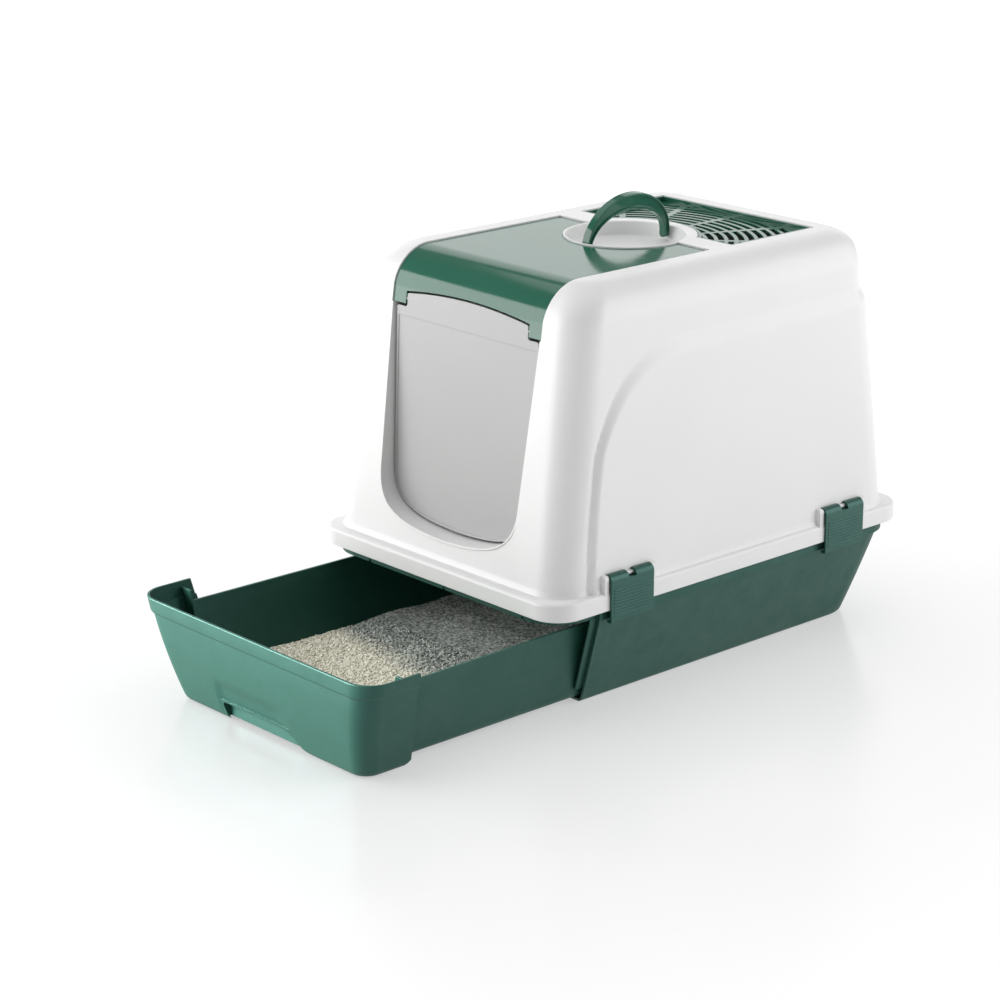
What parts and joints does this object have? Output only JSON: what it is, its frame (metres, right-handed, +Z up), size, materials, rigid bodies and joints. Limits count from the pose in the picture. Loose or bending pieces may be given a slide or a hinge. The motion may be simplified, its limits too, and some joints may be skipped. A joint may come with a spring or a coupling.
{
  "type": "cat litter box",
  "caption": "Hooded cat litter box: tapered tray with a pull-out litter drawer, white hood with flip-up visor, swinging entrance door, carry handle, filter cover and side clips.",
  "frame": {"origin": "On the floor, in the middle of the underside of the base tray, under the middle of the hood flange.", "axes": "+X to the right as seen by someone facing the entrance, +Y to the rear, +Z up; the entrance and the drawer face -Y."},
  "size_m": [0.397, 0.7971, 0.5022],
  "materials": {
    "tray_green": "satin moulded polypropylene, sage green",
    "clip_green": "satin moulded polypropylene with ridges",
    "gloss_green": "polished moulded plastic, bottle green",
    "hood_white": "satin moulded polypropylene, white",
    "pin_white": "plain moulded pin",
    "clear_door": "smoky translucent plastic sheet",
    "charcoal": "charcoal-loaded fibre pad",
    "litter_granules": "fine loose mineral granules"
  },
  "bodies": {
    "base": {"base_tray": "tray_green"},
    "drawer": {"drawer": "tray_green", "litter": "litter_granules"},
    "hood": {"hood_shell": "hood_white", "charcoal_filter": "charcoal", "visor_pin_right": "pin_white", "visor_pin_left": "pin_white", "handle_pin_rear": "pin_white", "handle_pin_front": "pin_white"},
    "visor": {"visor": "gloss_green", "door_pin_right": "pin_white", "door_pin_left": "pin_white"},
    "door": {"swing_door": "clear_door"},
    "handle": {"carry_handle": "gloss_green"},
    "filter_lid": {"filter_cover": "gloss_green"},
    "clip_front_right": {"clip_front_right": "clip_green"},
    "clip_rear_right": {"clip_rear_right": "clip_green"},
    "clip_front_left": {"clip_front_left": "clip_green"},
    "clip_rear_left": {"clip_rear_left": "clip_green"}
  },
  "joints": [
    {"name": "drawer_slide", "type": "slide", "parent": "base", "child": "drawer", "axis": [0, -1, 0], "range_m": [-0.245, 0.27]},
    {"name": "hood_lift", "type": "slide", "parent": "base", "child": "hood", "axis": [0, 0, 1], "range_m": [0, 0.35]},
    {"name": "visor_hinge", "type": "hinge", "parent": "hood", "child": "visor", "pos_m": [0, 0.017, 0.4495], "axis": [-1, 0, 0], "range_deg": [0, 95]},
    {"name": "door_hinge", "type": "hinge", "parent": "visor", "child": "door", "pos_m": [0, -0.2205, 0.403], "axis": [1, 0, 0], "range_deg": [-60, 60]},
    {"name": "handle_hinge", "type": "hinge", "parent": "hood", "child": "handle", "pos_m": [0, 0.012, 0.447], "axis": [0, 1, 0], "range_deg": [-97, 83]},
    {"name": "cover_hinge", "type": "hinge", "parent": "hood", "child": "filter_lid", "pos_m": [0, 0.188, 0.4546], "axis": [-1, 0, 0], "range_deg": [0, 100]},
    {"name": "clip_front_right_hinge", "type": "hinge", "parent": "hood", "child": "clip_front_right", "pos_m": [0.1904, -0.1667, 0.1526], "axis": [0, -1, 0], "range_deg": [0, 100]},
    {"name": "clip_rear_right_hinge", "type": "hinge", "parent": "hood", "child": "clip_rear_right", "pos_m": [0.1904, 0.166, 0.1526], "axis": [0, -1, 0], "range_deg": [0, 100]},
    {"name": "clip_front_left_hinge", "type": "hinge", "parent": "hood", "child": "clip_front_left", "pos_m": [-0.1904, -0.1667, 0.1526], "axis": [0, 1, 0], "range_deg": [0, 100]},
    {"name": "clip_rear_left_hinge", "type": "hinge", "parent": "hood", "child": "clip_rear_left", "pos_m": [-0.1904, 0.166, 0.1526], "axis": [0, 1, 0], "range_deg": [0, 100]}
  ]
}
